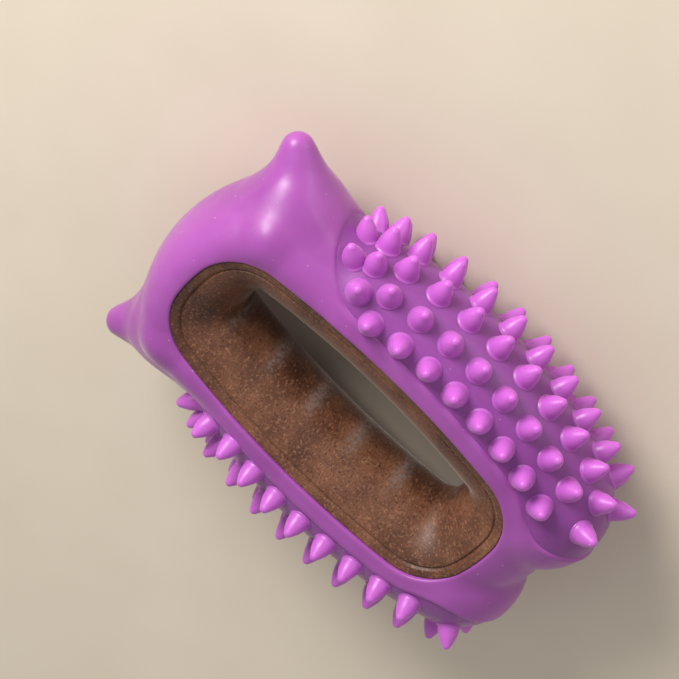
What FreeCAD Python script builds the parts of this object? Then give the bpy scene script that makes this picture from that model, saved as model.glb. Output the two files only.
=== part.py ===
import FreeCAD, Part
import math
import os
from FreeCAD import Placement, Rotation, Vector

# Ring-shaped chew brush for a dog. A rigid wood-composite ring lines a finger slot, and soft rubber
# is moulded round its outside: a lobe with a pad of spikes on each long side, a nose bumper at one end
# and a grip with two blunt horns at the other.
#
# Frame, in millimetres: the origin is the middle of the finger slot, halfway through its depth.
# +X runs along the slot towards the nose, +Y towards the right lobe, and +Z along the slot's own axis.

# Driving dimensions: alias, value, what it is.
DIMENSIONS = (
    ("rim_half_width", 22.0, "rim loop, half width across the slot"),
    ("rim_nose", 45.7, "rim loop, furthest point towards the nose"),
    ("rim_handle", 53.0, "rim loop, furthest point towards the handle, as a positive length"),
    ("rim_side_radius", 241.0, "rim loop, radius of each long side"),
    ("rim_end_radius", 48.0, "rim loop, radius of each end"),
    ("rim_corner_radius", 15.6, "rim loop, radius of its four corners"),
    ("tube_radius", 17.5, "radius of the core's round inner face"),
    ("tube_offset", 4.1, "how far outside the rim the centre of that round face lies"),
    ("land_width", 2.2, "width of the flat land between the rim and its groove"),
    ("rim_groove", 0.7, "width and depth of the fine groove beside the rim"),
    ("rib_reach", 4.0, "how far the keying rib reaches out into the rubber"),
    ("rib_height", 9.0, "height of the keying rib"),
    ("rib_root", 1.0, "how far the keying rib runs back into the core's band"),
    ("lobe_radius", 18.0, "radius of a lobe's round section"),
    ("lobe_bow_radius", 103.5, "radius of the bowed centre line of a lobe"),
    ("lobe_bow_x", 8.4, "centre of that bow, along the slot"),
    ("lobe_bow_y", 79.64, "centre of that bow, across the slot and beyond the other lobe"),
    ("lobe_start", 105.9, "angle on the bow where the lobe begins, beside the grip"),
    ("lobe_end", 68.1, "angle on the bow where the lobe ends, beside the nose"),
    ("lobe_gap", 0.3, "gap between the two lobes under the nose bumper"),
    ("pad_recess", 0.5, "how far the pad's surface lies below the lobe's band"),
    ("pad_thickness", 1.8, "thickness of the pad under its spikes"),
    ("pad_handle_end", 37.0, "end of the pad towards the handle, as a positive length"),
    ("pad_nose_end", 70.0, "end of the pad towards the nose"),
    ("pad_half_height", 24.0, "half height of the pad's outline"),
    ("pad_inner", 17.5, "how near the middle of the slot a pad may come"),
    ("pad_band", 5.5, "width of the smooth band between the rim and a pad"),
    ("pad_corner_radius", 11.0, "corner radius of the pad's outline"),
    ("spike_radius", 2.9, "radius of a spike at its root"),
    ("spike_tip_radius", 1.25, "radius of a spike's rounded tip"),
    ("spike_height", 6.1, "height of a spike above the pad"),
    ("spike_pitch", 8.15, "distance between rows of spikes, along the bow"),
    ("spike_column_angle", 26.5, "angle between columns of spikes, round the lobe"),
    ("smooth_radius", 17.4, "radius of the round sections of the grip and of the nose bumper"),
    ("nose_centre", 43.0, "middle of the nose bumper's section"),
    ("nose_bend_radius", 37.0, "radius of the nose bumper's curved centre line"),
    ("neck_radius", 17.1, "radius of the grip's two necks"),
    ("neck_offset", 15.0, "half distance between the two necks' centre lines"),
    ("neck_start", 22.0, "where a neck begins inside its lobe, as a positive length"),
    ("grip_centre", 47.6, "middle of the end bar's section, as a positive length"),
    ("grip_bend_radius", 23.2, "radius of the end bar's curved centre line"),
    ("horn_root_x", 39.5, "root of a horn along the slot, as a positive length"),
    ("horn_root_y", 18.0, "root of a horn across the slot"),
    ("horn_root_radius", 15.0, "radius of a horn at its root"),
    ("horn_tip_x", 57.0, "middle of a horn's rounded tip, as a positive length"),
    ("horn_tip_y", 38.2, "middle of a horn's rounded tip across the slot"),
    ("horn_tip_radius", 4.2, "radius of a horn's rounded tip"),
)

doc = FreeCAD.newDocument("chew_brush")
sheet = doc.addObject("Spreadsheet::Sheet", "dimensions")
for row, (alias, value, meaning) in enumerate(DIMENSIONS, start=1):
    sheet.set("A%d" % row, meaning)
    sheet.set("B%d" % row, str(value))
    sheet.setAlias("B%d" % row, alias)
doc.recompute()

UP = Vector(0, 0, 1)
SIDES = (("right", 1), ("left", -1))
HALVINGS = 60
# Sizes of the blocks used only for cutting, in millimetres, larger than the brush itself.
WINDOW_DEPTH = 70.0
BLOCK_HEIGHT = 60.0
HALF_SPACE = 160.0
# How far the nose bumper's bar turns each way from the middle, in degrees.
NOSE_SPREAD = 24.0
ROWS = 8
COLUMNS = 6
# Rows beyond the regular ones, round a lobe's two ball ends: which end, the angle by which the row
# leans out past the bow, and the tilt of each spike above or below the mid-plane, in degrees.
END_ROWS = (
    ("lobe_start", 2, (-50, -25, 0, 25, 50)),
    ("lobe_start", 21, (-27, 0, 27)),
    ("lobe_end", 5, (-21, 21)),
    ("lobe_end", 25, (-42, 0, 42)),
)


def size(alias):
    """One driving dimension, as a plain number."""
    return float(sheet.get(alias))


def add(kind, name, **formulas):
    """A document object whose properties are bound to the sheet, each by its own expression."""
    item = doc.addObject(kind, name)
    for prop, formula in formulas.items():
        item.setExpression(prop, formula)
    return item


def feature(name, shape, placement=None):
    """A free shape as a document object, placed after its shape is set."""
    item = doc.addObject("Part::Feature", name)
    item.Shape = shape
    item.Placement = placement or Placement()
    return item


def join(name, items):
    item = doc.addObject("Part::MultiFuse", name)
    item.Shapes = items
    return item


def cut(name, base, tools):
    """Base less one tool or several."""
    item = doc.addObject("Part::Cut", name)
    item.Base = base
    item.Tool = tools[0] if len(tools) == 1 else join(name + "_tools", tools)
    return item


def common(name, first, second):
    item = doc.addObject("Part::Common", name)
    item.Base = first
    item.Tool = second
    return item


# ---------------------------------------------------------------- the rim loop
def arc(centre_x, centre_y, radius, start, end):
    """A circular arc in the XY plane, from one angle to another, counted in radians."""
    points = []
    for angle in (start, (start + end) / 2, end):
        points.append(Vector(centre_x + radius * math.cos(angle), centre_y + radius * math.sin(angle), 0))
    return Part.Arc(*points).toShape()


def end_of_loop(reach):
    """The arcs of one end of the rim loop, as centres and angles, for an end at this reach.

    A corner arc touches the end arc, whose centre is on the X axis, and the side arc, whose centre
    is straight across the slot. The angle where end and corner meet is found by halving a range.
    """
    end_radius = size("rim_end_radius")
    corner = size("rim_corner_radius")
    side = size("rim_side_radius")
    side_y = size("rim_half_width") - side
    low, high = 0.0, math.pi / 2
    for _ in range(HALVINGS):
        turn = (low + high) / 2
        x = reach - end_radius + (end_radius - corner) * math.cos(turn)
        y = (end_radius - corner) * math.sin(turn)
        if math.hypot(x, y - side_y) > side - corner:
            high = turn
        else:
            low = turn
    return reach - end_radius, turn, x, y, math.atan2(y - side_y, x)


def loop_wire(outset=0.0):
    """The rim loop as a closed wire of tangent arcs, offset outwards by a distance."""
    end_radius = size("rim_end_radius") + outset
    corner = size("rim_corner_radius") + outset
    side = size("rim_side_radius") + outset
    side_y = size("rim_half_width") - size("rim_side_radius")
    nose, turn, x, y, lean = end_of_loop(size("rim_nose"))
    grip, back_turn, back_x, back_y, back_lean = end_of_loop(size("rim_handle"))
    half = math.pi
    return Part.Wire([
        arc(nose, 0, end_radius, 0, turn),
        arc(x, y, corner, turn, lean),
        arc(0, side_y, side, lean, half - back_lean),
        arc(-back_x, back_y, corner, half - back_lean, half - back_turn),
        arc(-grip, 0, end_radius, half - back_turn, half + back_turn),
        arc(-back_x, -back_y, corner, half + back_turn, half + back_lean),
        arc(0, -side_y, side, half + back_lean, 2 * half - lean),
        arc(x, -y, corner, -lean, -turn),
        arc(nose, 0, end_radius, -turn, 0),
    ])


def loop_block(name, outset, height):
    """A block over the rim loop, offset outwards, centred on the mid-plane."""
    solid = Part.Face(loop_wire(outset)).extrude(UP * height)
    return feature(name, solid, Placement(UP * (-height / 2), Rotation()))


# ---------------------------------------------------------------- the core
def core_section():
    """Section of the core's band at the nose: a land and a fine groove at each rim, and a round face."""
    radius = size("tube_radius")
    groove = size("rim_groove")
    rim_x = size("rim_nose")
    centre_x = rim_x + size("tube_offset")

    def face_z(x):
        return math.sqrt(radius ** 2 - (centre_x - x) ** 2)

    land_x = rim_x - size("land_width")
    inner_x = land_x - groove
    floor_z = face_z(inner_x) - groove
    upper = [Vector(rim_x, 0, face_z(rim_x)), Vector(land_x, 0, face_z(land_x)), Vector(land_x, 0, floor_z),
             Vector(inner_x, 0, floor_z), Vector(inner_x, 0, face_z(inner_x))]
    lower = [Vector(point.x, 0, -point.z) for point in reversed(upper)]
    edges = [Part.LineSegment(a, b).toShape() for a, b in zip(upper, upper[1:])]
    edges.append(Part.Arc(upper[-1], Vector(centre_x - radius, 0, 0), lower[0]).toShape())
    edges += [Part.LineSegment(a, b).toShape() for a, b in zip(lower, lower[1:])]
    edges.append(Part.LineSegment(lower[-1], upper[0]).toShape())
    return Part.Wire(edges)


def build_core():
    """The rigid ring: a half-round band swept round the rim, with a keying rib on its outside."""
    section = feature("core_section", core_section())
    path = feature("rim_path", loop_wire())
    band = doc.addObject("Part::Sweep", "core_band")
    band.Sections = [section]
    band.Spine = (path, ["Edge%d" % (k + 1) for k in range(len(path.Shape.Edges))])
    band.Solid = True
    band.Frenet = False
    band.Transition = "Right corner"
    outer = loop_block("rib_outline", size("rib_reach"), size("rib_height"))
    inner = loop_block("rib_middle", -size("rib_root"), BLOCK_HEIGHT)
    return join("core_ring", [band, cut("keying_rib", outer, [inner])])


# ---------------------------------------------------------------- the lobes
def bow_point(degrees, side):
    """A point on a lobe's bowed centre line, and the outward direction there, in plan."""
    angle = math.radians(degrees)
    outward = Vector(math.cos(angle), side * math.sin(angle), 0)
    centre = Vector(size("lobe_bow_x"), -side * size("lobe_bow_y"), 0)
    return centre + outward * size("lobe_bow_radius"), outward


def bowed_bar(name, side, inset):
    """A lobe's rounded form, less a skin: a bowed round bar with a ball at each end."""
    radius = "dimensions.lobe_radius - %s" % inset if inset else "dimensions.lobe_radius"
    bar = add("Part::Torus", name + "_bar", Radius1="dimensions.lobe_bow_radius", Radius2=radius,
              Angle3="(dimensions.lobe_start - dimensions.lobe_end) * 1 deg")
    start = size("lobe_end") if side > 0 else -size("lobe_start")
    centre = Vector(size("lobe_bow_x"), -side * size("lobe_bow_y"), 0)
    bar.Placement = Placement(centre, Rotation(UP, start))
    pieces = [bar]
    for end, alias in (("grip", "lobe_start"), ("nose", "lobe_end")):
        ball = add("Part::Sphere", "%s_%s_ball" % (name, end), Radius=radius)
        ball.Placement = Placement(bow_point(size(alias), side)[0], Rotation())
        pieces.append(ball)
    return join(name, pieces)


def pad_window(name, side):
    """A block with round corners that a pad's outline is cut from, seen from the side of the lobe."""
    half = size("pad_half_height")
    corner = size("pad_corner_radius")
    low = -size("pad_handle_end")
    high = size("pad_nose_end")
    outline = Part.makePlane(high - low, 2 * half, Vector(low, 0, -half), Vector(0, -1, 0), Vector(1, 0, 0))
    block = outline.extrude(Vector(0, side * WINDOW_DEPTH, 0))
    across = [edge for edge in block.Edges if edge.Vertexes[0].Point.y != edge.Vertexes[-1].Point.y]
    inner = Vector(0, side * size("pad_inner"), 0)
    return feature(name, block.makeFillet(corner, across), Placement(inner, Rotation()))


def spike_solid():
    """One spike standing on the origin along +Z, rooted a little below it, with a rounded tip."""
    root = size("spike_radius")
    tip = size("spike_tip_radius")
    height = size("spike_height")
    sink = size("pad_thickness") / 2
    ball_z = height - tip
    lean = math.atan2(root - tip, ball_z)
    meet = Vector(tip * math.cos(lean), 0, ball_z + tip * math.sin(lean))
    between = math.pi / 4 + lean / 2
    round_point = Vector(tip * math.cos(between), 0, ball_z + tip * math.sin(between))
    crest = Vector(0, 0, height)
    corners = [crest, Vector(0, 0, -sink), Vector(root, 0, -sink), Vector(root, 0, 0), meet]
    edges = [Part.LineSegment(a, b).toShape() for a, b in zip(corners, corners[1:])]
    edges.append(Part.Arc(meet, round_point, crest).toShape())
    return Part.Face(Part.Wire(edges)).revolve(Vector(), UP, 360)


def spike_places(side):
    """Where every spike of one pad stands, as placements."""
    radius = size("lobe_radius") - size("pad_recess")
    step = math.degrees(size("spike_pitch") / size("lobe_bow_radius"))
    middle = (size("lobe_start") + size("lobe_end")) / 2
    stands = []
    for row in range(ROWS):
        centre, outward = bow_point(middle + step * ((ROWS - 1) / 2 - row), side)
        tilts = [size("spike_column_angle") * (column - (COLUMNS - 1) / 2) for column in range(COLUMNS)]
        stands.append((centre, outward, tilts))
    for alias, past, tilts in END_ROWS:
        turn = side * (past if alias == "lobe_start" else -past)
        centre, outward = bow_point(size(alias), side)
        stands.append((centre, Rotation(UP, turn).multVec(outward), tilts))
    places = []
    for centre, outward, tilts in stands:
        for tilt in tilts:
            lean = math.radians(tilt)
            direction = outward * math.cos(lean) + UP * math.sin(lean)
            places.append(Placement(centre + direction * radius, Rotation(UP, direction)))
    return places


def build_lobe(name, side, core_block, band_block, rib_block, other_half):
    """A lobe's sleeve, with the pocket that its pad sits in, and the pad with its spikes."""
    form = bowed_bar(name + "_form", side, "")
    surface = bowed_bar(name + "_pad_surface", side, "dimensions.pad_recess")
    floor = bowed_bar(name + "_pocket_floor", side, "dimensions.pad_recess - dimensions.pad_thickness")
    window = pad_window(name + "_window", side)
    pocket = cut(name + "_pocket", window, [floor, band_block])
    skin = common(name + "_pad_skin", surface, pocket)
    spikes = []
    shape = spike_solid()
    for number, place in enumerate(spike_places(side), start=1):
        spikes.append(feature("%s_spike_%d" % (name, number), shape, place))
    pad = join(name + "_spike_pad", [skin] + spikes)
    sleeve = cut(name + "_lobe", form, [core_block, rib_block, other_half, pocket] + spikes)
    return form, sleeve, pad


# ---------------------------------------------------------------- the smooth ends
def bent_bar(name, middle, bend, toward, spread):
    """A round bar bent about a centre inside the slot, spread each way in degrees."""
    bar = add("Part::Torus", name, Radius1="dimensions." + bend, Radius2="dimensions.smooth_radius")
    bar.Angle3 = 2 * spread
    facing = 0 if toward > 0 else 180
    centre = Vector(toward * (size(middle) - size(bend)), 0, 0)
    bar.Placement = Placement(centre, Rotation(UP, facing - spread))
    return bar


def grip_corner_x():
    """Where the end bar's centre line meets the two necks' centre lines."""
    bend = size("grip_bend_radius")
    return bend - size("grip_centre") - math.sqrt(bend ** 2 - size("neck_offset") ** 2)


def neck(name, side):
    """A straight round bar beside the slot, from inside a lobe to the end bar, and the ball at its end.

    The ball is turned so that its seam lies inside the end bar.
    """
    corner_x = grip_corner_x()
    bar = add("Part::Cylinder", name, Radius="dimensions.neck_radius")
    bar.Height = -corner_x - size("neck_start")
    corner = Vector(corner_x, side * size("neck_offset"), 0)
    bar.Placement = Placement(corner, Rotation(UP, Vector(1, 0, 0)))
    ball = add("Part::Sphere", name + "_corner", Radius="dimensions.smooth_radius")
    ball.Placement = Placement(corner, Rotation(UP, 180))
    return [bar, ball]


def horn(name, side):
    """A blunt horn: two balls of different sizes and the cone that touches both, turned as one."""
    root = Vector(-size("horn_root_x"), side * size("horn_root_y"), 0)
    tip = Vector(-size("horn_tip_x"), side * size("horn_tip_y"), 0)
    large = size("horn_root_radius")
    small = size("horn_tip_radius")
    length = (tip - root).Length
    lean = math.asin((large - small) / length)
    low = Vector(large * math.cos(lean), 0, large * math.sin(lean))
    high = Vector(small * math.cos(lean), 0, length + small * math.sin(lean))
    between = math.pi / 4 + lean / 2
    crest = Vector(0, 0, length + small)
    base = Vector(0, 0, -large)
    edges = [Part.Arc(base, Vector(large, 0, 0), low).toShape(),
             Part.LineSegment(low, high).toShape(),
             Part.Arc(high, Vector(small * math.cos(between), 0, length + small * math.sin(between)),
                      crest).toShape(),
             Part.LineSegment(crest, base).toShape()]
    solid = Part.Face(Part.Wire(edges)).revolve(Vector(), UP, 360)
    return feature(name, solid, Placement(root, Rotation(UP, tip - root)))


# ---------------------------------------------------------------- assembly
core = build_core()
core_block = loop_block("core_block", 0, BLOCK_HEIGHT)
band_block = loop_block("band_block", size("pad_band"), BLOCK_HEIGHT)
rib_block = loop_block("rib_block", size("rib_reach"), size("rib_height"))

lobes = {}
forms = []
for name, side in SIDES:
    other = add("Part::Box", name + "_other_half")
    for prop in ("Length", "Width", "Height"):
        setattr(other, prop, HALF_SPACE)
    edge_y = side * size("lobe_gap") / 2 - (HALF_SPACE if side > 0 else 0)
    other.Placement = Placement(Vector(-HALF_SPACE / 2, edge_y, -HALF_SPACE / 2), Rotation())
    form, sleeve, pad = build_lobe(name, side, core_block, band_block, rib_block, other)
    forms.append(form)
    lobes[name] = (sleeve, pad)

nose_form = bent_bar("nose_form", "nose_centre", "nose_bend_radius", 1, NOSE_SPREAD)
nose = cut("nose_bumper", nose_form, [core_block, rib_block] + forms)

corner_spread = math.degrees(math.asin(size("neck_offset") / size("grip_bend_radius")))
grip_pieces = [bent_bar("end_bar", "grip_centre", "grip_bend_radius", -1, corner_spread)]
for name, side in SIDES:
    grip_pieces += neck(name + "_neck", side)
    grip_pieces.append(horn(name + "_horn", side))
grip = cut("handle_grip", join("grip_form", grip_pieces), [core_block, rib_block] + forms)

doc.recompute()

parts = {"core_ring": core, "nose_bumper": nose, "handle_grip": grip}
for name, (sleeve, pad) in lobes.items():
    parts[name + "_lobe"] = sleeve
    parts[name + "_spike_pad"] = pad

faults = ["%s: %s" % (item.Name, item.State) for item in doc.Objects
          if "Invalid" in item.State or "Error" in item.State]
for name, item in parts.items():
    item.Label = name
    shape = item.Shape
    if shape.isNull() or not shape.isValid():
        faults.append(name + ": bad shape")
    elif len(shape.Solids) != 1:
        faults.append("%s: %d solids" % (name, len(shape.Solids)))
if faults:
    raise RuntimeError("; ".join(faults))

os.makedirs("parts", exist_ok=True)
for name, item in parts.items():
    item.Shape.exportStep("parts/%s.step" % name)
    box = item.Shape.BoundBox
    print("%-16s %8.0f mm3  x %6.1f %6.1f  y %6.1f %6.1f  z %6.1f %6.1f" % (
        name, item.Shape.Volume, box.XMin, box.XMax, box.YMin, box.YMax, box.ZMin, box.ZMax))
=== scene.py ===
import math

import bpy
import numpy as np
from mathutils import Matrix, Vector


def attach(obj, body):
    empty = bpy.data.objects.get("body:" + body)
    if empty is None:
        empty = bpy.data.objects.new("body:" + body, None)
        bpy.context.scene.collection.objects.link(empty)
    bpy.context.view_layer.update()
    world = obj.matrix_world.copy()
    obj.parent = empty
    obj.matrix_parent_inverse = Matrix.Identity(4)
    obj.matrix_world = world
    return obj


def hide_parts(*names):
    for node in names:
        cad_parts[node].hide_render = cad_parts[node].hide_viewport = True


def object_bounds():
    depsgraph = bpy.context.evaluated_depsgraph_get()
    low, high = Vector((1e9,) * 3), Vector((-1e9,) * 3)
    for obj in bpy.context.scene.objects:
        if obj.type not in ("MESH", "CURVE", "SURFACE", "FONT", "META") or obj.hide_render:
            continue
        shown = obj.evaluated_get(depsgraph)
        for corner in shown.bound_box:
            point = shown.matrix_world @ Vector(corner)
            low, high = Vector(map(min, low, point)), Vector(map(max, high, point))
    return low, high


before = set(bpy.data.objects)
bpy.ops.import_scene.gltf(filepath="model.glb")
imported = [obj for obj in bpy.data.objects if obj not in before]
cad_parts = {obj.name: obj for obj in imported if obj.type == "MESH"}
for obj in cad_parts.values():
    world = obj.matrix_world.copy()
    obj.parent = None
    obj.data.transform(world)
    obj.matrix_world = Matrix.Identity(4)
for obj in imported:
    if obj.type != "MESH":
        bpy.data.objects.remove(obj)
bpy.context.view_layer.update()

# The ring-shaped chew brush in its finished form: a wood-composite ring round a finger slot, a rubber
# sleeve moulded round it, and a spiked pad let into each side of the sleeve. Shapes are worked out in
# millimetres, in the row frame, and made into meshes in metres. The nose is at +X, the grip at -X.
MM = 0.001
UP = np.array([0.0, 0.0, 1.0])


def smooth(low, high, value):
    """A soft step from 0 at low to 1 at high."""
    t = np.clip((value - low) / (high - low), 0, 1)
    return t * t * (3 - 2 * t)


def raised(flat, height=0.0):
    """Plan points as points in space, at one height or at a height each."""
    heights = np.broadcast_to(np.reshape(height, (-1, 1)), (len(flat), 1))
    return np.concatenate([flat, heights], 1)


# ---------------------------------------------------------------- the rim loop
# The rim is where rubber meets wood. The ring is a tube whose centre runs just outside the rim.
HALF_WIDTH, NOSE_REACH, HANDLE_REACH = 22.0, 45.7, 53.0
SIDE_RADIUS, END_RADIUS, CORNER_RADIUS = 241.0, 48.0, 15.6
TUBE_OFFSET, TUBE_RADIUS = 4.1, 17.5
SIDE_Y = HALF_WIDTH - SIDE_RADIUS
ARC_HALVINGS = 60


def end_arcs(reach_x):
    """Centre of an end arc, its half angle, the corner arc's centre, and that arc's far angle."""
    low, high = 0.0, math.pi / 2
    for _ in range(ARC_HALVINGS):
        turn = (low + high) / 2
        x = reach_x - END_RADIUS + (END_RADIUS - CORNER_RADIUS) * math.cos(turn)
        y = (END_RADIUS - CORNER_RADIUS) * math.sin(turn)
        if math.hypot(x, y - SIDE_Y) > SIDE_RADIUS - CORNER_RADIUS:
            high = turn
        else:
            low = turn
    return reach_x - END_RADIUS, turn, x, y, math.atan2(y - SIDE_Y, x)


def loop_stations(spacing, width):
    """Points of the rim loop and their outward directions, spaced by their distance width outside it."""
    nose, turn, x, y, lean = end_arcs(NOSE_REACH)
    grip, back_turn, back_x, back_y, back_lean = end_arcs(HANDLE_REACH)
    half = math.pi
    # Each arc is its centre, its radius and its first and last angle.
    arcs = [
        (nose, 0, END_RADIUS, 0, turn),
        (x, y, CORNER_RADIUS, turn, lean),
        (0, SIDE_Y, SIDE_RADIUS, lean, half - back_lean),
        (-back_x, back_y, CORNER_RADIUS, half - back_lean, half - back_turn),
        (-grip, 0, END_RADIUS, half - back_turn, half + back_turn),
        (-back_x, -back_y, CORNER_RADIUS, half + back_turn, half + back_lean),
        (0, -SIDE_Y, SIDE_RADIUS, half + back_lean, 2 * half - lean),
        (x, -y, CORNER_RADIUS, 2 * half - lean, 2 * half - turn),
        (nose, 0, END_RADIUS, -turn, 0),
    ]
    points, angles = [], []
    for centre_x, centre_y, radius, start, end in arcs:
        steps = max(2, math.ceil((end - start) * (radius + width) / spacing))
        for k in range(steps):
            angle = start + (end - start) * k / steps
            points.append((centre_x + radius * math.cos(angle), centre_y + radius * math.sin(angle)))
            angles.append(angle)
    angles = np.array(angles)
    return np.array(points), np.stack([np.cos(angles), np.sin(angles)], 1)


# ---------------------------------------------------------------- the rubber's form
# Each lobe is a round bar along a plan arc. BOW is that arc, given for the lobe at +Y.
LOBE_RADIUS, BOW_RADIUS, BOW_X, BOW_Y = 17.88, 103.5, 8.4, 79.64
BOW_START, BOW_END = math.radians(105.9), math.radians(68.1)
# The grip is a bent bar behind the ring, with a straight neck along each side of it.
GRIP_WIDTH, GRIP_HEIGHT, GRIP_REACH, GRIP_BEND = 11.0, 17.6, 64.9, 32.0
NECK_X, NECK_Y = 18.0, 21.4
NOSE_RADIUS, NOSE_TIP, NOSE_BEND, NOSE_SPREAD = 17.3, 60.3, 54.3, math.radians(26)
HORN_ROOT, HORN_TIP, HORN_RADII = (-39.5, 18.0), (-57.0, 38.2), (15.0, 4.2)

# How widely the parts flow into each other. A pair is the width at the level top and what the sides
# add, which comes in between these two heights.
LOBE_BLEND, NOSE_BLEND = 3.0, 1.6
NECK_BLEND, HORN_BLEND, GRIP_BLEND = (1.9, 3.1), (1.0, 8.0), (0.7, 3.0)
TOP_HEIGHT, SIDE_HEIGHT = 16.5, 8.0

# Rays find the surface by halving between their shortest and longest reach.
RAY_SHORTEST, RAY_LONGEST, RAY_LONGEST_ON_LOBE, RAY_HALVINGS = 1.0, 48.0, 30.0, 26


def blend_min(a, b, width):
    """The smaller of two distances, rounded where they are about equal."""
    near = np.maximum(width - np.abs(a - b), 0) / width
    return np.minimum(a, b) - near * near * width / 4


def arc_bar(p, centre, bend, middle, half, wide, high):
    """Distance-like field of a bar along a plan arc, with an elliptical section and round ends."""
    x, y = p[..., 0] - centre[0], p[..., 1] - centre[1]
    turn = np.arctan2(y, x) - middle
    turn = (turn + math.pi) % (2 * math.pi) - math.pi
    at = middle + np.clip(turn, -half, half)
    plan = np.hypot(x - bend * np.cos(at), y - bend * np.sin(at))
    return (np.hypot(plan * high / wide, p[..., 2]) - high) * (wide / high) ** 0.5


def line_bar(p, start, end, wide, high):
    """The same field for a straight bar."""
    start, end = np.array(start), np.array(end)
    way = end - start
    rel = p[..., :2] - start
    at = np.clip(rel @ way / (way @ way), 0, 1)[..., None]
    plan = np.linalg.norm(rel - at * way, axis=-1)
    return (np.hypot(plan * high / wide, p[..., 2]) - high) * (wide / high) ** 0.5


def round_cone(p, root, tip, big, small):
    """Distance to two balls of different sizes and the cone that touches both."""
    root = np.array([*root, 0.0])
    way = np.array([*tip, 0.0]) - root
    length = way @ way
    taper = big - small
    free = length - taper * taper
    rel = p - root
    y = rel @ way
    z = y - length
    across = np.sum((rel * length - y[..., None] * way) ** 2, -1)
    y2, z2 = y * y * length, z * z * length
    bend = np.sign(taper) * taper * taper * across
    side = (np.sqrt(across * free / length) + y * taper) / length - big
    result = np.where(np.sign(y) * free * y2 < bend, np.sqrt(across + y2) / length - big, side)
    return np.where(np.sign(z) * free * z2 > bend, np.sqrt(across + z2) / length - small, result)


def lobe_field(p, side):
    middle = side * (BOW_START + BOW_END) / 2
    half = (BOW_START - BOW_END) / 2
    return arc_bar(p, (BOW_X, -side * BOW_Y), BOW_RADIUS, middle, half, LOBE_RADIUS, LOBE_RADIUS)


def body_field(p):
    """Negative inside the rubber's rounded form, as if the slot and the pads weren't there."""
    sides = smooth(TOP_HEIGHT, SIDE_HEIGHT, np.abs(p[..., 2]))
    neck_blend, horn_blend, grip_blend = [top + more * sides
                                          for top, more in (NECK_BLEND, HORN_BLEND, GRIP_BLEND)]
    centre_x = GRIP_REACH - GRIP_WIDTH - GRIP_BEND
    spread = math.asin(NECK_Y / GRIP_BEND)
    corner_x = -centre_x - GRIP_BEND * math.cos(spread)
    grip = arc_bar(p, (-centre_x, 0), GRIP_BEND, math.pi, spread, GRIP_WIDTH, GRIP_HEIGHT)
    for side in (1, -1):
        y = side * NECK_Y
        neck = line_bar(p, (-NECK_X, y), (corner_x, y), GRIP_WIDTH, GRIP_HEIGHT)
        grip = blend_min(grip, neck, neck_blend)
    for side in (1, -1):
        root, tip = [(x, side * y) for x, y in (HORN_ROOT, HORN_TIP)]
        grip = blend_min(grip, round_cone(p, root, tip, *HORN_RADII), horn_blend)
    nose = arc_bar(p, (NOSE_TIP - NOSE_BEND, 0), NOSE_BEND - NOSE_RADIUS, 0, NOSE_SPREAD,
                   NOSE_RADIUS, NOSE_RADIUS)
    lobes = blend_min(lobe_field(p, 1), lobe_field(p, -1), LOBE_BLEND)
    return blend_min(blend_min(lobes, nose, NOSE_BLEND), grip, grip_blend)


def reach(origins, directions, longest=RAY_LONGEST):
    """How far each ray goes from inside the rubber's form to its surface."""
    low = np.full(directions.shape[:-1], RAY_SHORTEST)
    high = np.full(directions.shape[:-1], longest)
    for _ in range(RAY_HALVINGS):
        middle = (low + high) / 2
        inside = body_field(origins + directions * middle[..., None]) < 0
        low = np.where(inside, middle, low)
        high = np.where(inside, high, middle)
    return (low + high) / 2


# ---------------------------------------------------------------- the pads' outline and pocket
# The pad stays PAD_BAND outside the rim and PAD_INNER from the plane between the two lobes. Beside the
# grip it ends at an upright plane across the lobe's end, turned by PAD_TURN.
PAD_BAND, PAD_INNER, PAD_ROUND, PAD_TURN = 5.6, 17.5, 6.0, math.radians(137.0)
POCKET_DEPTH, LIP_WIDTH = 1.7, 1.0
BEAD_HEIGHT, BEAD_PLACE, BEAD_WIDTH = 0.12, 1.5, 0.9


def pad_outline(x, y, outset):
    """How far a point lies outside the pad's outline. Outset is its distance outside the rim loop."""
    end_x = BOW_X + BOW_RADIUS * math.cos(BOW_START)
    end_y = BOW_RADIUS * math.sin(BOW_START) - BOW_Y
    grip_side = (np.abs(y) - end_y) * math.cos(PAD_TURN) - (x - end_x) * math.sin(PAD_TURN)
    ends = np.maximum(grip_side, PAD_INNER - np.abs(y))
    return -blend_min(-ends, outset - PAD_BAND, PAD_ROUND)


def pocket_depth(over):
    """How deep the lobe's surface sinks under the pad, with a slightly raised bead round the pocket."""
    bead = np.exp(-((over - BEAD_PLACE) / BEAD_WIDTH) ** 2)
    return POCKET_DEPTH * smooth(LIP_WIDTH, -LIP_WIDTH, over) - BEAD_HEIGHT * bead


# ---------------------------------------------------------------- mesh making
def set_normals(mesh, normals, shaded):
    """Give the first shaded faces their points' own normals, and leave the others flat."""
    corner_points = np.empty(len(mesh.loops), int)
    mesh.loops.foreach_get("vertex_index", corner_points)
    totals = np.empty(len(mesh.polygons), int)
    mesh.polygons.foreach_get("loop_total", totals)
    corner_faces = np.repeat(np.arange(len(totals)), totals)
    flat = np.empty(len(mesh.polygons) * 3)
    mesh.polygons.foreach_get("normal", flat)
    flat = flat.reshape(-1, 3)[corner_faces]
    wanted = np.where((corner_faces < shaded)[:, None], normals[corner_points], flat)
    mesh.normals_split_custom_set(wanted.tolist())


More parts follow.
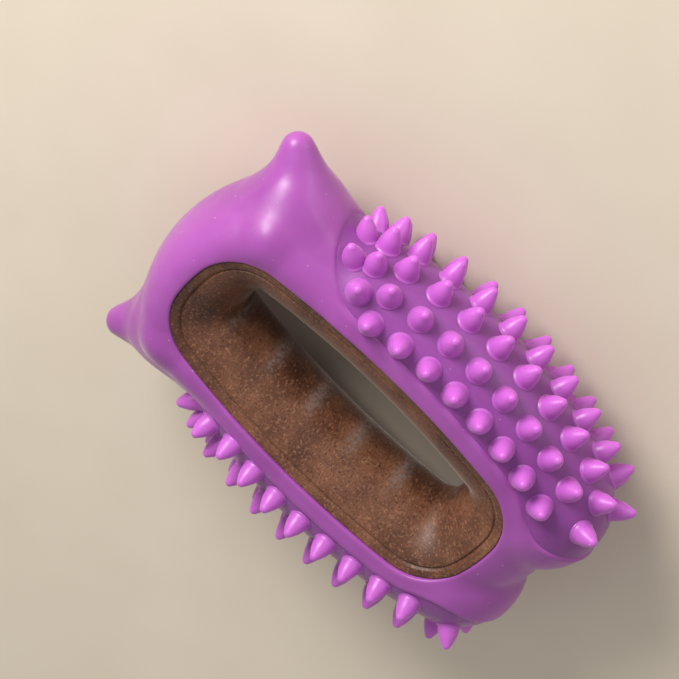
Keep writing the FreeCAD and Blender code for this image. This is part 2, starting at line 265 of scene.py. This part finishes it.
def piece(name, verts, faces, material, normals=None, shaded=None):
    """A mesh, from points in millimetres, that takes the place of the CAD node of the same name."""
    mesh = bpy.data.meshes.new(name)
    mesh.from_pydata((verts * MM).tolist(), [], [list(map(int, face)) for face in faces])
    rounded = len(faces) if shaded is None else shaded
    mesh.polygons.foreach_set("use_smooth", np.arange(len(faces)) < rounded)
    mesh.update()
    if normals is not None:
        set_normals(mesh, normals, shaded)
    obj = bpy.data.objects.new(name, mesh)
    bpy.context.scene.collection.objects.link(obj)
    mesh.materials.append(material)
    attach(obj, "root")
    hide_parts(name)
    return obj


def mark_points(obj, attribute, values):
    """Store a number for each point, which the material reads."""
    made = obj.data.attributes.new(attribute, "FLOAT", "POINT")
    made.data.foreach_set("value", values.astype(np.float32))


def grid_faces(rows, columns, first=0, closed=False, flip=False):
    """Quads between neighbouring rows of a grid of points; closed joins the last row to the first."""
    i = np.arange(rows if closed else rows - 1)[:, None]
    j = np.arange(columns - 1)[None, :]
    a = first + i * columns + j
    b = first + ((i + 1) % rows) * columns + j
    quads = np.stack([a, b, b + 1, a + 1], -1).reshape(-1, 4)
    return quads[:, ::-1] if flip else quads


# ---------------------------------------------------------------- rubber sleeve
# The rounded edge beside the rim: how far outside the rim, and how far below the surface's height.
RIM_ROUND = ((0.9, 0.0), (0.45, 0.06), (0.18, 0.22), (0.04, 0.5), (0.0, 0.95))
SLEEVE_SPACING, SLEEVE_STEPS = 0.55, 124
# Stations are spaced as they would be this far outside the rim.
SLEEVE_WIDTH = 16.0
# The nose piece's half width, and where the grip piece begins.
NOSE_HALF, NECK_SEAM = 5.5, -33.0


def sleeve_grid():
    """Every station's section: from the inner wall below, over the outside, to the inner wall above."""
    rim, normal = loop_stations(SLEEVE_SPACING, SLEEVE_WIDTH)
    out = raised(normal)
    edge_gap = RIM_ROUND[0][0]
    edge = raised(rim + normal * edge_gap)
    height = reach(edge, np.broadcast_to(UP, edge.shape), RAY_LONGEST_ON_LOBE)
    # Rays fan out from the tube's centre line, between the two rims.
    last = np.arctan2(height, edge_gap - TUBE_OFFSET)
    phi = last[:, None] * np.linspace(-1, 1, SLEEVE_STEPS + 1)[None, :]
    directions = out[:, None, :] * np.cos(phi)[..., None] + UP * np.sin(phi)[..., None]
    origins = np.broadcast_to(raised(rim + normal * TUBE_OFFSET)[:, None, :], directions.shape)
    radius = reach(origins, directions)
    surface = origins + directions * radius[..., None]
    outset = TUBE_OFFSET + radius * np.cos(phi)
    over = pad_outline(surface[..., 0], surface[..., 1], outset)
    surface = surface - directions * pocket_depth(over)[..., None]
    upper = np.stack([raised(rim + normal * gap, height - drop) for gap, drop in RIM_ROUND[1:]], 1)
    lower = upper[:, ::-1] * np.array([1, 1, -1])
    return rim, np.concatenate([lower, surface, upper], 1)


def grid_normals(grid):
    """Outward unit normals of a grid that is closed along its first axis."""
    along = np.roll(grid, -1, 0) - np.roll(grid, 1, 0)
    around = np.gradient(grid, axis=1)
    normals = np.cross(along, around)
    return normals / np.maximum(np.linalg.norm(normals, axis=-1, keepdims=True), 1e-12)


def sleeve_piece(name, grid, normals, chosen, material):
    """A closed piece of the sleeve: the chosen run of stations, its inner wall and its two ends."""
    part = grid[chosen]
    rows, columns = part.shape[:2]
    outside = grid_faces(rows, columns)
    start = np.arange(rows - 1) * columns
    wall = np.stack([start, start + columns - 1, start + 2 * columns - 1, start + columns], 1)
    # An end is a strip of quads between the section's lower half and its upper half.
    ends = []
    for row, last_end in ((0, False), (rows - 1, True)):
        for j in range(columns // 2):
            low, high = row * columns + j, row * columns + columns - 1 - j
            quad = [low, low + 1, high - 1, high]
            if low + 1 == high - 1:
                quad = [low, low + 1, high]
            if low + 1 <= high - 1:
                ends.append(quad if last_end else quad[::-1])
    faces = [*outside, *wall, *ends]
    return piece(name, part.reshape(-1, 3), faces, material,
                 normals[chosen].reshape(-1, 3), len(outside))


def unbroken_run(chosen):
    """Indices of the one unbroken run of chosen stations round the closed loop."""
    count = len(chosen)
    begin = [k for k in range(count) if chosen[k] and not chosen[k - 1]][0]
    return [(begin + k) % count for k in range(int(chosen.sum()))]


def run_between(first, last, count):
    """Indices from one station of the closed loop on to another, both included."""
    return [(first + k) % count for k in range((last - first) % count + 1)]


def sleeve(material):
    """The four pieces of the sleeve, which share the stations at their seams."""
    rim, grid = sleeve_grid()
    normals = grid_normals(grid)
    count = len(rim)
    nose = unbroken_run((rim[:, 0] > 0) & (np.abs(rim[:, 1]) <= NOSE_HALF))
    grip = unbroken_run(rim[:, 0] <= NECK_SEAM)
    right = run_between(nose[-1], grip[0], count)
    left = run_between(grip[-1], nose[0], count)
    for name, chosen in (("nose_bumper", nose), ("handle_grip", grip), ("right_lobe", right),
                         ("left_lobe", left)):
        sleeve_piece(name, grid, normals, chosen, material)


# ---------------------------------------------------------------- spike pads
PAD_DEPTH, PAD_THICKNESS = 0.5, 1.1
# The pad's border runs this far outside its outline, just under the bead.
PAD_UNDER = 0.75
PAD_ROWS, PAD_COLUMNS = 170, 84
# The search for the border: first and last angle along the bow and tilt round the lobe, in degrees,
# and how many of each. The points of the rim loop that it measures from are SEARCH_SPACING apart.
SEARCH_ANGLES, SEARCH_TILTS, SEARCH_SPACING = (-12, 168, 300), (0, 97, 110), 1.5
END_SHARE, LEAST_TILT = 0.9995, math.radians(0.3)

ROWS, COLUMNS = 8, 6
SPIKE_PITCH, SPIKE_ANGLE = 8.15, math.radians(26.5)
# Rows round a lobe's two ends: the end's angle, and in degrees how far the row leans past it and its tilts.
END_ROWS = ((BOW_START, 2, (-50, -25, 0, 25, 50)), (BOW_START, 21, (-27, 0, 27)),
            (BOW_END, -5, (-21, 21)), (BOW_END, -25, (-42, 0, 42)))
SPIKE_HEIGHT, SPIKE_ROOT, SPIKE_TIP, SPIKE_SIDES = 6.0, 2.9, 1.25, 28
# The flared foot: how much wider than the root, and the height.
SPIKE_FOOT = ((0.5, -0.7), (0.42, -0.02), (0.16, 0.1), (0.02, 0.32))
SPIKE_SWELL, FLANK_STEPS, TIP_STEPS = 0.34, 8, 6
# How far moulded spikes differ from one another.
SPIKE_LEAN, SPIKE_SPREAD = 0.02, 0.012
SEEDS = {1: 7, -1: 8}
# The material knows a spike by its points' marks, which rise from this at the foot to 1 at the tip.
FOOT_MARK = 0.1


def pad_point(angle, tilt, side, depth):
    """Points of a pad's surface, by angle along the bow and tilt round the lobe, and their directions."""
    at = np.clip(angle, BOW_END, BOW_START)
    centre_y = side * (BOW_RADIUS * np.sin(at) - BOW_Y)
    centre = np.stack([BOW_X + BOW_RADIUS * np.cos(at), centre_y, 0 * at], -1)
    out = np.stack([np.cos(angle), side * np.sin(angle), 0 * angle], -1)
    direction = out * np.cos(tilt)[..., None] + UP * np.sin(tilt)[..., None]
    length = reach(centre, direction, RAY_LONGEST_ON_LOBE) - depth
    return centre + direction * length[..., None], direction


def rim_outset(p):
    """Distance of points from the rim loop, in plan, outwards."""
    flat = p.reshape(-1, 3)[:, :2]
    nearest = np.full(len(flat), np.inf)
    outset = np.zeros(len(flat))
    for point, normal in zip(*loop_stations(SEARCH_SPACING, 0.0)):
        rel = flat - point
        gap = np.hypot(rel[:, 0], rel[:, 1])
        nearer = gap < nearest
        nearest = np.where(nearer, gap, nearest)
        outset = np.where(nearer, rel @ normal, outset)
    return outset.reshape(p.shape[:-1])


def zero_between(places, values, first, second):
    """Where the values cross zero between two neighbouring places."""
    share = values[first] / (values[first] - values[second])
    return places[first] + (places[second] - places[first]) * share


def pad_patch(side):
    """Angles and tilts of a grid of points that fills the pad's outline."""
    first, last, count = SEARCH_ANGLES
    angles = np.linspace(math.radians(first), math.radians(last), count)
    first, last, count = SEARCH_TILTS
    tilts = np.linspace(math.radians(first), math.radians(last), count)
    surface, _ = pad_point(*np.meshgrid(angles, tilts, indexing="ij"), side, 0.0)
    over = pad_outline(surface[..., 0], surface[..., 1], rim_outset(surface)) - PAD_UNDER
    inside = np.nonzero(over[:, 0] < 0)[0]
    low = zero_between(angles, over[:, 0], inside[0] - 1, inside[0])
    high = zero_between(angles, over[:, 0], inside[-1], inside[-1] + 1)
    limits = []
    for i in inside:
        j = int(np.argmax(over[i] > 0)) if (over[i] > 0).any() else len(tilts) - 1
        limits.append(zero_between(tilts, over[i], j - 1, j))
    # Rows crowd towards the two ends, where the outline closes.
    share = np.sin(np.linspace(-math.pi / 2, math.pi / 2, PAD_ROWS)) * END_SHARE
    at = (low + high) / 2 + (high - low) / 2 * share
    limit = np.interp(at, [low, *angles[inside], high], [0.0, *limits, 0.0])
    limit = np.maximum(limit, LEAST_TILT)
    return np.repeat(at[:, None], PAD_COLUMNS, 1), limit[:, None] * np.linspace(-1, 1, PAD_COLUMNS)[None, :]


def spike_profile():
    """Radius and height of a spike from under the pad to its tip: a full, slightly swollen cone."""
    lean = math.atan2(SPIKE_ROOT - SPIKE_TIP, SPIKE_HEIGHT - SPIKE_TIP)
    shoulder = SPIKE_HEIGHT - SPIKE_TIP + SPIKE_TIP * math.sin(lean)
    profile = [(SPIKE_ROOT + flare, z) for flare, z in SPIKE_FOOT]
    foot = SPIKE_FOOT[-1][1]
    for k in range(1, FLANK_STEPS + 1):
        share = k / FLANK_STEPS
        radius = SPIKE_ROOT + (SPIKE_TIP * math.cos(lean) - SPIKE_ROOT) * share
        profile.append((radius + SPIKE_SWELL * math.sin(math.pi * share), foot + (shoulder - foot) * share))
    for k in range(1, TIP_STEPS):
        angle = lean + (math.pi / 2 - lean) * k / TIP_STEPS
        z = SPIKE_HEIGHT - SPIKE_TIP + SPIKE_TIP * math.sin(angle)
        profile.append((SPIKE_TIP * math.cos(angle), z))
    return np.array(profile)


def spike_stands():
    """Place along the bow, direction round it and tilt of every spike."""
    stands = []
    middle = (BOW_START + BOW_END) / 2
    for row in range(ROWS):
        angle = middle + SPIKE_PITCH * ((ROWS - 1) / 2 - row) / BOW_RADIUS
        stands += [(angle, angle, SPIKE_ANGLE * (k - (COLUMNS - 1) / 2)) for k in range(COLUMNS)]
    for end, past, tilts in END_ROWS:
        stands += [(end, end + math.radians(past), math.radians(tilt)) for tilt in tilts]
    return stands


def spike_foot(angle, facing, tilt, side):
    """Where a spike stands and the way it points. At a lobe's ball end it faces past the bow."""
    flat = math.cos(tilt)
    up = np.array([flat * math.cos(facing), side * flat * math.sin(facing), math.sin(tilt)])
    centre_y = side * (BOW_RADIUS * math.sin(angle) - BOW_Y)
    centre = np.array([BOW_X + BOW_RADIUS * math.cos(angle), centre_y, 0.0])
    return centre + up * (LOBE_RADIUS - PAD_DEPTH), up


def spike_mesh(profile, foot, up, swell, first):
    """Points and faces of a spike that stands on foot. Its points are numbered on from first."""
    across = np.cross(up, UP if abs(up[2]) < 0.9 else [1.0, 0.0, 0.0])
    across /= np.linalg.norm(across)
    turn = np.arange(SPIKE_SIDES) * 2 * math.pi / SPIKE_SIDES
    circle = np.cos(turn)[:, None] * across + np.sin(turn)[:, None] * np.cross(up, across)
    rings = foot + profile[:, None, 0, None] * swell * circle[None] + profile[:, None, 1, None] * up
    points = np.concatenate([rings.reshape(-1, 3), [foot + up * SPIKE_HEIGHT, foot + up * profile[0, 1]]])
    low = first + np.arange(len(profile) - 1)[:, None] * SPIKE_SIDES
    high = low + SPIKE_SIDES
    here = np.arange(SPIKE_SIDES)
    after = (here + 1) % SPIKE_SIDES
    faces = np.stack([low + here, low + after, high + after, high + here], -1).reshape(-1, 4).tolist()
    tip = first + len(profile) * SPIKE_SIDES
    for k, beside in zip(here, after):
        faces.append([tip - SPIKE_SIDES + k, tip - SPIKE_SIDES + beside, tip])
        faces.append([first + beside, first + k, tip + 1])
    return points, faces


def grid_border(rows, columns):
    """Indices round the edge of a grid of points, in order."""
    return np.concatenate([np.arange(columns), np.arange(1, rows) * columns + columns - 1,
                           (rows - 1) * columns + np.arange(columns - 2, -1, -1),
                           np.arange(rows - 2, 0, -1) * columns])


def pad_piece(name, side, material):
    """A closed sheet that fills the pocket, and its spikes."""
    angles, tilts = pad_patch(side)
    outer, direction = pad_point(angles, tilts, side, PAD_DEPTH)
    inner = outer - direction * PAD_THICKNESS
    rows, columns = angles.shape
    count = rows * columns
    verts = [outer.reshape(-1, 3), inner.reshape(-1, 3)]
    flip = side > 0
    ring = grid_border(rows, columns)
    after = np.roll(ring, -1)
    border = np.stack([ring, after, after + count, ring + count], 1)
    faces = [*grid_faces(rows, columns, flip=flip), *grid_faces(rows, columns, count, flip=not flip),
             *(border if flip else border[:, ::-1])]
    profile = spike_profile()
    rise = FOOT_MARK + (1 - FOOT_MARK) * np.clip(profile[:, 1] / SPIKE_HEIGHT, 0, 1)
    spike_marks = np.concatenate([np.repeat(rise, SPIKE_SIDES), [1.0, 0.0]])
    marks = [np.zeros(2 * count)]
    random = np.random.default_rng(SEEDS[side])
    first = 2 * count
    for angle, facing, tilt in spike_stands():
        foot, up = spike_foot(angle, facing, tilt, side)
        up = up + random.normal(0, SPIKE_LEAN, 3)
        up = up / np.linalg.norm(up)
        swell = 1 + random.normal(0, SPIKE_SPREAD)
        points, spike_faces = spike_mesh(profile, foot, up, swell, first)
        verts.append(points)
        faces += spike_faces
        marks.append(spike_marks)
        first += len(points)
    obj = piece(name, np.concatenate(verts), faces, material)
    mark_points(obj, "spike", np.concatenate(marks))


# ---------------------------------------------------------------- the core
CORE_SPACING, WALL_STEPS = 0.7, 63
# The section as depth inside the rim against how far it lies below the rim's height.
CORE_EDGE = ((-0.6, 1.4), (-0.1, 0.9), (0.0, 0.35), (0.12, 0.1), (0.38, 0.02))
# Then the land and the fine groove, as depth inside the rim against how far below the tube's face.
CORE_LAND = ((0.8, 0.0), (1.3, 0.0), (1.75, 0.0), (2.0, 0.04), (2.16, 0.16), (2.3, 0.48),
             (2.5, 0.62), (2.7, 0.48), (2.84, 0.16), (3.0, 0.03))
WALL_START = CORE_LAND[-1][0]
CORE_BACK = 4.0
# Finger ridges stand on the long walls. They fade out with height, and where the wall turns.
RIDGES = (-38.0, -23.5, -9.0, 5.2, 19.8, 34.2)
RIDGE_HEIGHT, RIDGE_WIDTH = 0.35, 1.9
RIDGE_FULL, RIDGE_GONE = 3.0, 11.5
WALL_TURNED, WALL_STRAIGHT = 0.75, 0.97
# The parting line round the narrowest part of the slot.
SEAM_HEIGHT, SEAM_WIDTH, SEAM_FROM = 0.06, 0.30, 6.0
# How strongly the finger ridges take the wood's painted grey sheen, and the most they take.
PAINTED_SHEEN, MOST_PAINTED_SHEEN = 0.95, 0.9


def core_section():
    """Depth inside the rim and height round the ring's section, from the top of its back to the bottom."""
    rim_height = math.sqrt(TUBE_RADIUS ** 2 - TUBE_OFFSET ** 2)

    def face_height(depth):
        return math.sqrt(TUBE_RADIUS ** 2 - (TUBE_OFFSET + depth) ** 2)

    section = [(CORE_EDGE[0][0], CORE_BACK)]
    section += [(depth, rim_height - drop) for depth, drop in CORE_EDGE]
    section += [(depth, face_height(depth) - drop) for depth, drop in CORE_LAND]
    start = math.atan2(face_height(WALL_START), TUBE_OFFSET + WALL_START)
    for k in range(1, WALL_STEPS + 1):
        angle = start * (1 - k / WALL_STEPS)
        section.append((TUBE_RADIUS * math.cos(angle) - TUBE_OFFSET, TUBE_RADIUS * math.sin(angle)))
    section = np.array(section)
    return np.concatenate([section, section[-2::-1] * np.array([1, -1])])


def core_piece(material):
    """The wood-composite ring: land, groove and round inner face with soft finger ridges."""
    rim, normal = loop_stations(CORE_SPACING, 0.0)
    count = len(rim)
    depth, height = core_section().T
    out = raised(normal)
    grid = raised(rim)[:, None] - out[:, None] * depth[None, :, None]
    grid[..., 2] = height[None]
    ridge = sum(np.exp(-((grid[..., 0] - x) / RIDGE_WIDTH) ** 2) for x in RIDGES)
    on_side = smooth(WALL_TURNED, WALL_STRAIGHT, np.abs(normal[:, 1]))[:, None]
    on_wall = smooth(RIDGE_GONE, RIDGE_FULL, np.abs(height))[None] * (depth > WALL_START)[None]
    # One mask shapes the finger ridges and places their painted grey sheen.
    ridge_and_sheen = ridge * on_side * on_wall
    seam = SEAM_HEIGHT * np.exp(-(height / SEAM_WIDTH) ** 2)[None] * (depth > SEAM_FROM)[None]
    grid = grid - out[:, None] * (RIDGE_HEIGHT * ridge_and_sheen + seam)[..., None]
    columns = grid.shape[1]
    faces = list(grid_faces(count, columns, closed=True, flip=True))
    # The back closes the section, behind the rubber.
    start = np.arange(count) * columns
    after = np.roll(start, -1)
    faces += list(np.stack([start, after, after + columns - 1, start + columns - 1], 1)[:, ::-1])
    obj = piece("core_ring", grid.reshape(-1, 3), faces, material)
    # This mark tells the material where to paint grey sheen on the ridges.
    mark_points(obj, "ridge_and_sheen", np.clip(PAINTED_SHEEN * ridge_and_sheen, 0.0, MOST_PAINTED_SHEEN).reshape(-1))


# ---------------------------------------------------------------- materials
# Noise scales count features per metre.
def new_material(name):
    """A material, its node tree, its shader and the object's own coordinates."""
    material = bpy.data.materials.new(name)
    material.use_nodes = True
    tree = material.node_tree
    place = tree.nodes.new("ShaderNodeTexCoord").outputs["Object"]
    return material, tree, tree.nodes["Principled BSDF"], place


def noise(tree, place, scale, detail=3.0, rough=0.55, stretch=None):
    if stretch:
        mapping = tree.nodes.new("ShaderNodeMapping")
        mapping.inputs["Scale"].default_value = stretch
        tree.links.new(place, mapping.inputs["Vector"])
        place = mapping.outputs["Vector"]
    made = tree.nodes.new("ShaderNodeTexNoise")
    for key, value in (("Scale", scale), ("Detail", detail), ("Roughness", rough)):
        made.inputs[key].default_value = value
    tree.links.new(place, made.inputs["Vector"])
    return made.outputs["Fac"]


def attribute(tree, name):
    made = tree.nodes.new("ShaderNodeAttribute")
    made.attribute_name = name
    return made.outputs["Fac"]


def ramp(tree, source, stops):
    """Colours, or greys given as one number, at places along the source's range."""
    made = tree.nodes.new("ShaderNodeValToRGB")
    while len(made.color_ramp.elements) < len(stops):
        made.color_ramp.elements.new(0.5)
    for element, (at, colour) in zip(made.color_ramp.elements, stops):
        element.position = at
        element.color = (*(colour if isinstance(colour, tuple) else (colour,) * 3), 1.0)
    tree.links.new(source, made.inputs["Fac"])
    return made.outputs["Color"]


def bumps(tree, layers):
    """A chain of bump nodes, one per (height, strength, distance)."""
    last = None
    for height, strength, distance in layers:
        made = tree.nodes.new("ShaderNodeBump")
        made.inputs["Strength"].default_value = strength
        made.inputs["Distance"].default_value = distance
        tree.links.new(height, made.inputs["Height"])
        if last:
            tree.links.new(last, made.inputs["Normal"])
        last = made.outputs["Normal"]
    return last


def span(tree, source, low, high, out_low, out_high):
    """The source's range from low to high, moved to another range."""
    made = tree.nodes.new("ShaderNodeMapRange")
    for key, value in (("From Min", low), ("From Max", high), ("To Min", out_low), ("To Max", out_high)):
        made.inputs[key].default_value = value
    tree.links.new(source, made.inputs["Value"])
    return made.outputs["Result"]


def mix(tree, factor, a, b):
    """A colour between a and b, which are sockets or colours. The factor is a socket."""
    made = tree.nodes.new("ShaderNodeMix")
    made.data_type = "RGBA"
    for socket, value in (("Factor", factor), ("A", a), ("B", b)):
        named = [s for s in made.inputs if s.name == socket]
        target = [s for s in named if s.type == "RGBA" or socket == "Factor"][0]
        if isinstance(value, bpy.types.NodeSocket):
            tree.links.new(value, target)
        else:
            target.default_value = (*value, 1.0)
    return [s for s in made.outputs if s.type == "RGBA"][0]


def set_inputs(shader, values):
    for key, value in values.items():
        shader.inputs[key].default_value = value


def rubber(name, light, deep, softness, spike_colour=None):
    """Soft moulded rubber: satin, faintly streaked, with specks of dust, and pinker on the spikes."""
    material, tree, shader, place = new_material(name)
    cloud = noise(tree, place, 42.0, 3.0, 0.5)
    colour = ramp(tree, cloud, [(0.35, deep), (0.65, light)])
    if spike_colour:
        rise = ramp(tree, attribute(tree, "spike"), [(0.0, 0.0), (0.12, 0.75), (1.0, 1.0)])
        colour = mix(tree, rise, colour, spike_colour)
    specks = noise(tree, place, 900.0, 1.0, 0.5)
    dust = ramp(tree, specks, [(0.0, 0.0), (0.775, 0.0), (0.80, 0.55)])
    colour = mix(tree, dust, colour, (0.62, 0.42, 0.64))
    tree.links.new(colour, shader.inputs["Base Color"])
    streaks = noise(tree, place, 260.0, 2.0, 0.6, (1.0, 1.0, 0.35))
    tree.links.new(span(tree, streaks, 0.3, 0.7, 0.30, 0.44), shader.inputs["Roughness"])
    fine = noise(tree, place, 1500.0, 2.0, 0.6)
    broad = noise(tree, place, 120.0, 2.0, 0.5)
    relief = bumps(tree, [(broad, 0.25, 0.0004), (fine, 0.12, 0.00008)])
    tree.links.new(relief, shader.inputs["Normal"])
    set_inputs(shader, {
        "IOR": 1.48, "Subsurface Weight": softness, "Subsurface Radius": (1.0, 0.35, 0.9),
        "Subsurface Scale": 0.0022, "Sheen Weight": 0.22, "Sheen Roughness": 0.35,
        "Sheen Tint": (1.0, 0.86, 1.0, 1.0),
    })
    return material


def wood_composite():
    """Pressed wood and nylon: red-brown, full of short fibres and specks, with painted grey sheen on the
    finger ridges.
    """
    material, tree, shader, place = new_material("wood_composite")
    cloud = noise(tree, place, 75.0, 4.0, 0.6)
    dark, middle, light = (0.056, 0.017, 0.008), (0.125, 0.043, 0.019), (0.195, 0.076, 0.036)
    base = ramp(tree, cloud, [(0.34, dark), (0.5, middle), (0.66, light)])
    fibres = noise(tree, place, 1500.0, 3.0, 0.7, (1.0, 1.0, 0.42))
    base = mix(tree, ramp(tree, fibres, [(0.53, 0.0), (0.70, 0.7)]), base, (0.36, 0.175, 0.095))
    specks = noise(tree, place, 2100.0, 2.0, 0.6, (1.0, 1.0, 0.6))
    base = mix(tree, ramp(tree, specks, [(0.34, 0.8), (0.44, 0.0)]), base, (0.038, 0.012, 0.007))
    # Mottled painted grey sheen on the finger ridges, where the ridge mark lies.
    patches = ramp(tree, noise(tree, place, 1100.0, 3.0, 0.7), [(0.40, 0.15), (0.58, 1.0)])
    sheen_share = mix(tree, attribute(tree, "ridge_and_sheen"), (0.0, 0.0, 0.0), patches)
    base = mix(tree, sheen_share, base, (0.235, 0.178, 0.160))
    tree.links.new(base, shader.inputs["Base Color"])
    tree.links.new(span(tree, cloud, 0.3, 0.7, 0.44, 0.60), shader.inputs["Roughness"])
    relief = bumps(tree, [(fibres, 0.4, 0.0001), (cloud, 0.3, 0.0004)])
    tree.links.new(relief, shader.inputs["Normal"])
    set_inputs(shader, {
        "IOR": 1.5, "Sheen Weight": 0.35, "Sheen Roughness": 0.3, "Sheen Tint": (1.0, 0.88, 0.78, 1.0),
    })
    return material


def floor_material():
    material, tree, shader, place = new_material("floor")
    cloud = noise(tree, place, 30.0, 2.0, 0.5)
    colour = ramp(tree, cloud, [(0.3, (0.70, 0.62, 0.50)), (0.7, (0.73, 0.65, 0.53))])
    tree.links.new(colour, shader.inputs["Base Color"])
    shader.inputs["Roughness"].default_value = 0.9
    return material


# ---------------------------------------------------------------- assembly
SLEEVE_LIGHT, SLEEVE_DEEP = (0.37, 0.084, 0.40), (0.30, 0.060, 0.32)
# The pads' purple is the sleeve's purple made about a fifth to a quarter darker, as painted shade between
# the spikes.
PAD_LIGHT_SHADED, PAD_DEEP_SHADED, SPIKE_PINK = (0.285, 0.062, 0.325), (0.225, 0.044, 0.26), (0.56, 0.13, 0.60)

# Light that scattered under the sleeve's surface would show its seams, so only the pads are soft.
sleeve(rubber("purple_rubber", SLEEVE_LIGHT, SLEEVE_DEEP, 0.0))
pad_rubber = rubber("pink_rubber", PAD_LIGHT_SHADED, PAD_DEEP_SHADED, 0.2, SPIKE_PINK)
for name, side in (("right_spike_pad", 1), ("left_spike_pad", -1)):
    pad_piece(name, side, pad_rubber)
core_piece(wood_composite())

# ---------------------------------------------------------------- floor, camera and light
FLOOR_SIZE = 4.0
# The camera looks at the middle of the slot from DISTANCE away, and then steps aside by SHIFT.
TILT, YAW, ROLL = math.radians(36.86), math.radians(-5.73), math.radians(-44.63)
DISTANCE, SHIFT_X, SHIFT_Y = 531.6, 7.45, -14.82
IMAGE_WIDTH, PIXELS_PER_MM, SENSOR_WIDTH = 679.0, 4.0, 36.0

bpy.ops.mesh.primitive_plane_add(size=FLOOR_SIZE, location=(0, 0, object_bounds()[0][2]))
floor = bpy.context.object
floor.name = "floor"
floor.data.materials.append(floor_material())

toward = Vector((math.sin(YAW), math.sin(TILT) * math.cos(YAW), math.cos(TILT) * math.cos(YAW)))
toward.normalize()
along_x = (Vector((1, 0, 0)) - toward * toward.x).normalized()
along_y = toward.cross(along_x)
right = along_x * math.cos(ROLL) - along_y * math.sin(ROLL)
up = along_x * math.sin(ROLL) + along_y * math.cos(ROLL)
camera_data = bpy.data.cameras.new("camera")
camera = bpy.data.objects.new("camera", camera_data)
bpy.context.scene.collection.objects.link(camera)
basis = Matrix((right, up, toward)).transposed().to_4x4()
stand = (toward * DISTANCE - right * SHIFT_X - up * SHIFT_Y) * MM
camera.matrix_world = Matrix.Translation(stand) @ basis
camera_data.sensor_width = SENSOR_WIDTH
camera_data.lens = SENSOR_WIDTH * PIXELS_PER_MM * DISTANCE / IMAGE_WIDTH
camera_data.clip_start = 0.01
bpy.context.scene.camera = camera


def area_light(name, direction, distance, size, power, colour):
    """A round soft light that faces the object. Distance and size are in metres, power in watts."""
    data = bpy.data.lights.new(name, "AREA")
    data.shape = "DISK"
    data.size = size
    data.energy = power
    data.color = colour
    obj = bpy.data.objects.new(name, data)
    bpy.context.scene.collection.objects.link(obj)
    at = direction.normalized() * distance
    obj.matrix_world = Matrix.Translation(at) @ at.to_track_quat("Z", "Y").to_matrix().to_4x4()


area_light("key", -right * 0.55 + up * 0.75 + toward * 0.9, 0.8, 0.40, 7.6, (1.0, 0.97, 0.94))
area_light("fill", right * 0.75 + up * 0.3 + toward * 0.65, 0.9, 0.6, 1.5, (0.97, 0.98, 1.0))
world = bpy.data.worlds.new("world")
world.use_nodes = True
background = world.node_tree.nodes["Background"]
background.inputs["Color"].default_value = (1.0, 0.98, 0.96, 1.0)
background.inputs["Strength"].default_value = 0.45
bpy.context.scene.world = world
bpy.context.scene.view_settings.view_transform = "Standard"
